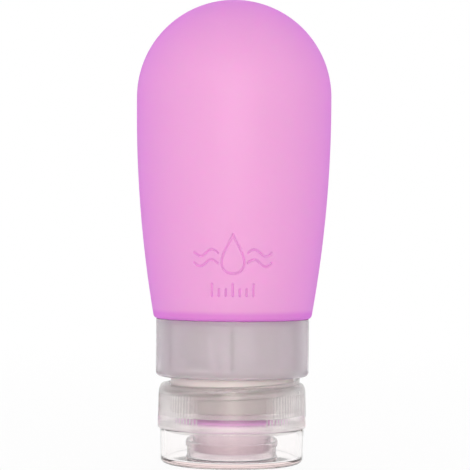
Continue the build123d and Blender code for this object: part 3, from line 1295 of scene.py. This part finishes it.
for piece, material, rides_on, slot, stands_for in (
    (body, silicone, "bottle", "silicone", "bottle_body"),
    (neck, natural_plastic, "bottle", "natural_plastic", "neck_insert"),
    (neck_thread, natural_plastic, "bottle", "natural_plastic", None),
    (collar, frosted_plastic, "collar", "frosted_plastic", "collar"),
    (ring, ring_plastic, "bottle", "ring_plastic", "id_ring"),
    (gasket, seal_rubber, "gasket", "seal_rubber", "cap_gasket"),
    (cap, cap_plastic, "cap", "cap_plastic", "cap_base"),
    (cap_thread, cap_plastic, "cap", "cap_plastic", None),
    (valve, valve_silicone, "cap", "valve_silicone", "drip_valve"),
    (retainer, retainer_plastic, "cap", "natural_plastic", "valve_retainer"),
    (lid, clear_plastic, "lid", "clear_plastic", "lid"),
):
    piece.data.materials.clear()
    piece.data.materials.append(material)
    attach(piece, rides_on)
    if stands_for:
        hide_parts(stands_for)
finish_fields(ring, rib_plastic, painted_light_band_plastic)
finish_part(cap, nozzle_plastic, (0, socket_outer_radius), (nozzle_tip, inner_deck))
finish_part(cap, socket_plastic, (0, socket_outer_radius), (inner_deck, gasket_seat))
finish_part(cap, deck_plastic, (socket_outer_radius, spigot_radius), (spigot_bottom, gasket_seat))
finish_part(lid, seal_plastic, (seal_bore, seal_radius + seal_bead), (lid_plate, seal_top))


# Floor, world and lamps

floor_reach = 2.0
floor_under_lid = 0.03 * MM
floor_white = 0.98
floor_roughness = 0.9
floor_near, floor_far = 0.06, 0.6
floor_near_share = 0.93
floor_bent_share = 0.975
world_light = 0.6
lamp_side = 0.4


def seen_white(nodes, links, through):
    """The camera's rays, and a share of those that reach it by gloss or through clear walls."""
    rays = nodes.new("ShaderNodeLightPath")
    glossy, transmitted = rays.outputs["Is Glossy Ray"], rays.outputs["Is Transmission Ray"]
    bent = joined(nodes, links, "MAXIMUM", glossy, transmitted)
    return rays.outputs["Is Camera Ray"], joined(nodes, links, "MULTIPLY", bent, through)


def make_floor():
    """A wide white floor with a soft shadow round the bottle, plain white further out.

    Its white is the world's, seen through it, so the open lid shows below it too.
    """
    mesh = bmesh.new()
    bmesh.ops.create_grid(mesh, x_segments=1, y_segments=1, size=floor_reach)
    data = bpy.data.meshes.new("floor")
    mesh.to_mesh(data)
    mesh.free()
    floor = linked("floor", data)
    floor.location.z = -floor_under_lid
    material = bpy.data.materials.new("floor")
    material.use_nodes = True
    nodes, links = material.node_tree.nodes, material.node_tree.links
    matt = nodes["Principled BSDF"]
    matt.inputs["Base Color"].default_value = (floor_white, floor_white, floor_white, 1)
    matt.inputs["Roughness"].default_value = floor_roughness
    place = nodes.new("ShaderNodeTexCoord")
    distance = nodes.new("ShaderNodeVectorMath")
    distance.operation = "LENGTH"
    links.new(place.outputs["Object"], distance.inputs[0])
    outward = nodes.new("ShaderNodeMapRange")
    outward.inputs["From Min"].default_value = floor_near
    outward.inputs["From Max"].default_value = floor_far
    outward.inputs["To Min"].default_value = floor_near_share
    links.new(distance.outputs["Value"], outward.inputs["Value"])
    camera_rays, bent_rays = seen_white(nodes, links, floor_bent_share)
    direct = joined(nodes, links, "MULTIPLY", camera_rays, outward.outputs["Result"])
    see_through = nodes.new("ShaderNodeBsdfTransparent")
    mix = nodes.new("ShaderNodeMixShader")
    links.new(joined(nodes, links, "MAXIMUM", direct, bent_rays), mix.inputs["Fac"])
    links.new(matt.outputs[0], mix.inputs[1])
    links.new(see_through.outputs[0], mix.inputs[2])
    links.new(mix.outputs[0], nodes["Material Output"].inputs["Surface"])
    data.materials.append(material)


def light_world():
    """White all round: full white where seen, and a lower level as light."""
    world = bpy.data.worlds.new("studio")
    bpy.context.scene.world = world
    world.use_nodes = True
    nodes, links = world.node_tree.nodes, world.node_tree.links
    sky = nodes["Background"]
    sky.inputs["Color"].default_value = (1, 1, 1, 1)
    strength = nodes.new("ShaderNodeMix")
    strength.inputs["A"].default_value = world_light
    strength.inputs["B"].default_value = 1.0
    camera_rays, bent_rays = seen_white(nodes, links, 1.0)
    links.new(joined(nodes, links, "MAXIMUM", camera_rays, bent_rays), strength.inputs["Factor"])
    links.new(strength.outputs["Result"], sky.inputs["Strength"])


def soft_lamp(name, place, power, colour, seen=True):
    """A square soft box that points at the bottle. seen: it shows in gloss and clear walls."""
    data = bpy.data.lights.new(name, "AREA")
    data.size = lamp_side
    data.energy = power
    data.color = colour
    lamp = linked(name, data)
    lamp.location = place
    way = Vector((0, 0, total_height / 2)) - Vector(place)
    lamp.rotation_euler = way.to_track_quat("-Z", "Y").to_euler()
    lamp.visible_camera = seen
    lamp.visible_glossy = seen
    lamp.visible_transmission = seen


make_floor()
light_world()
soft_lamp("front", place=(0.0, -0.84, 0.2), power=4.2, colour=(1.0, 0.96, 0.86))
soft_lamp("left", place=(-0.6, -0.3, 0.2), power=0.5, colour=(1.0, 1.0, 1.0))
soft_lamp("right", place=(0.6, -0.3, 0.2), power=0.35, colour=(1.0, 1.0, 1.0))
soft_lamp("back", place=(0.0, 0.84, 0.2), power=2.4, colour=(1.0, 0.97, 0.9), seen=False)

scene = bpy.context.scene
scene.view_settings.view_transform = "Standard"
# Light crosses up to a dozen clear walls here, and each has two faces
wall_faces = 24
scene.cycles.max_bounces = wall_faces
scene.cycles.transmission_bounces = wall_faces
scene.cycles.transparent_max_bounces = wall_faces
